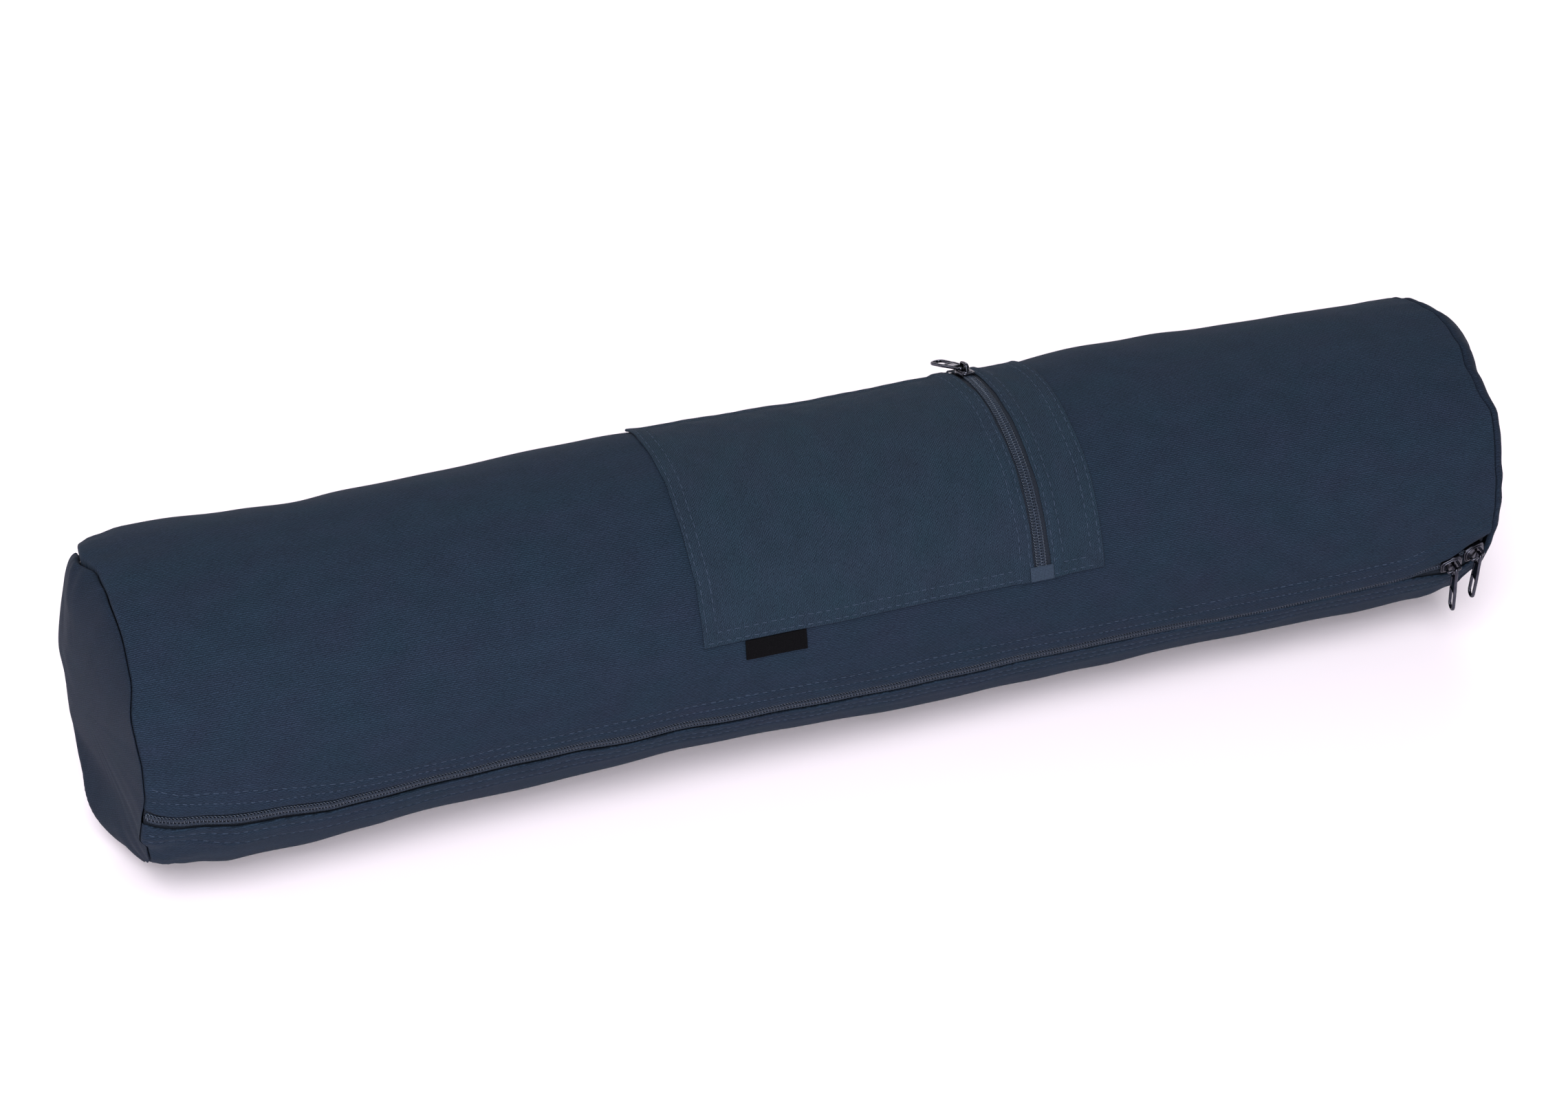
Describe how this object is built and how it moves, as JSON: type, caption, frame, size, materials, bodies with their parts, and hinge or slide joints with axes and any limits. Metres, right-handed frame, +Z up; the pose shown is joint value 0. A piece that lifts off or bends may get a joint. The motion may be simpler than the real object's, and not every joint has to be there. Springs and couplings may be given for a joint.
{
  "type": "yoga mat bag",
  "caption": "Round cloth bag for a rolled exercise mat, with a long side zip, domed round ends and a wrapped patch pocket with its own zip.",
  "frame": {"origin": "middle of the bag's footprint, on the floor", "axes": "+X along the bag towards the end where the two main sliders are, -Y towards the side with the zip and pocket, +Z up"},
  "size_m": [0.7098, 0.1586, 0.1587],
  "materials": {
    "body_cloth": "dark blue cotton twill, matt",
    "cap_cloth": "dark blue cotton twill, matt",
    "pocket_cloth": "dark blue plain-weave canvas, matt",
    "zip_tape": "woven polyester tape, matt",
    "zip_coil": "dark blue nylon coil, satin",
    "label": "black woven label, bare",
    "zip_metal": "dark gunmetal plating, glossy"
  },
  "bodies": {
    "bag": {"body_panel": "body_cloth", "left_end_cap": "cap_cloth", "right_end_cap": "cap_cloth", "main_zip_upper_coil": "zip_coil", "main_zip_upper_tape": "zip_tape", "main_zip_lower_coil": "zip_coil", "main_zip_lower_tape": "zip_tape", "pocket_panel": "pocket_cloth", "pocket_strip": "pocket_cloth", "pocket_zip_left_coil": "zip_coil", "pocket_zip_left_tape": "zip_tape", "pocket_zip_right_coil": "zip_coil", "pocket_zip_right_tape": "zip_tape", "pocket_zip_end_tab": "zip_tape", "side_label": "label", "main_slider_left": "zip_metal", "main_slider_right": "zip_metal", "pocket_slider": "zip_metal"},
    "left_pull": {"main_pull_left": "zip_metal"},
    "right_pull": {"main_pull_right": "zip_metal"},
    "top_pull": {"pocket_pull": "zip_metal"}
  },
  "joints": [
    {"name": "main_pull_left_swing", "type": "hinge", "parent": "bag", "child": "left_pull", "pos_m": [0.31908, -0.07554, 0.04596], "axis": [-0.9627, 0.0603, -0.2637], "range_deg": [-12, 150]},
    {"name": "main_pull_right_swing", "type": "hinge", "parent": "bag", "child": "right_pull", "pos_m": [0.33207, -0.07539, 0.05126], "axis": [-0.9241, -0.0684, -0.3759], "range_deg": [-12, 150]},
    {"name": "pocket_pull_lift", "type": "hinge", "parent": "bag", "child": "top_pull", "pos_m": [0.08909, 0.02406, 0.155], "axis": [0.9703, 0.2326, -0.0667], "range_deg": [0, 165]}
  ]
}
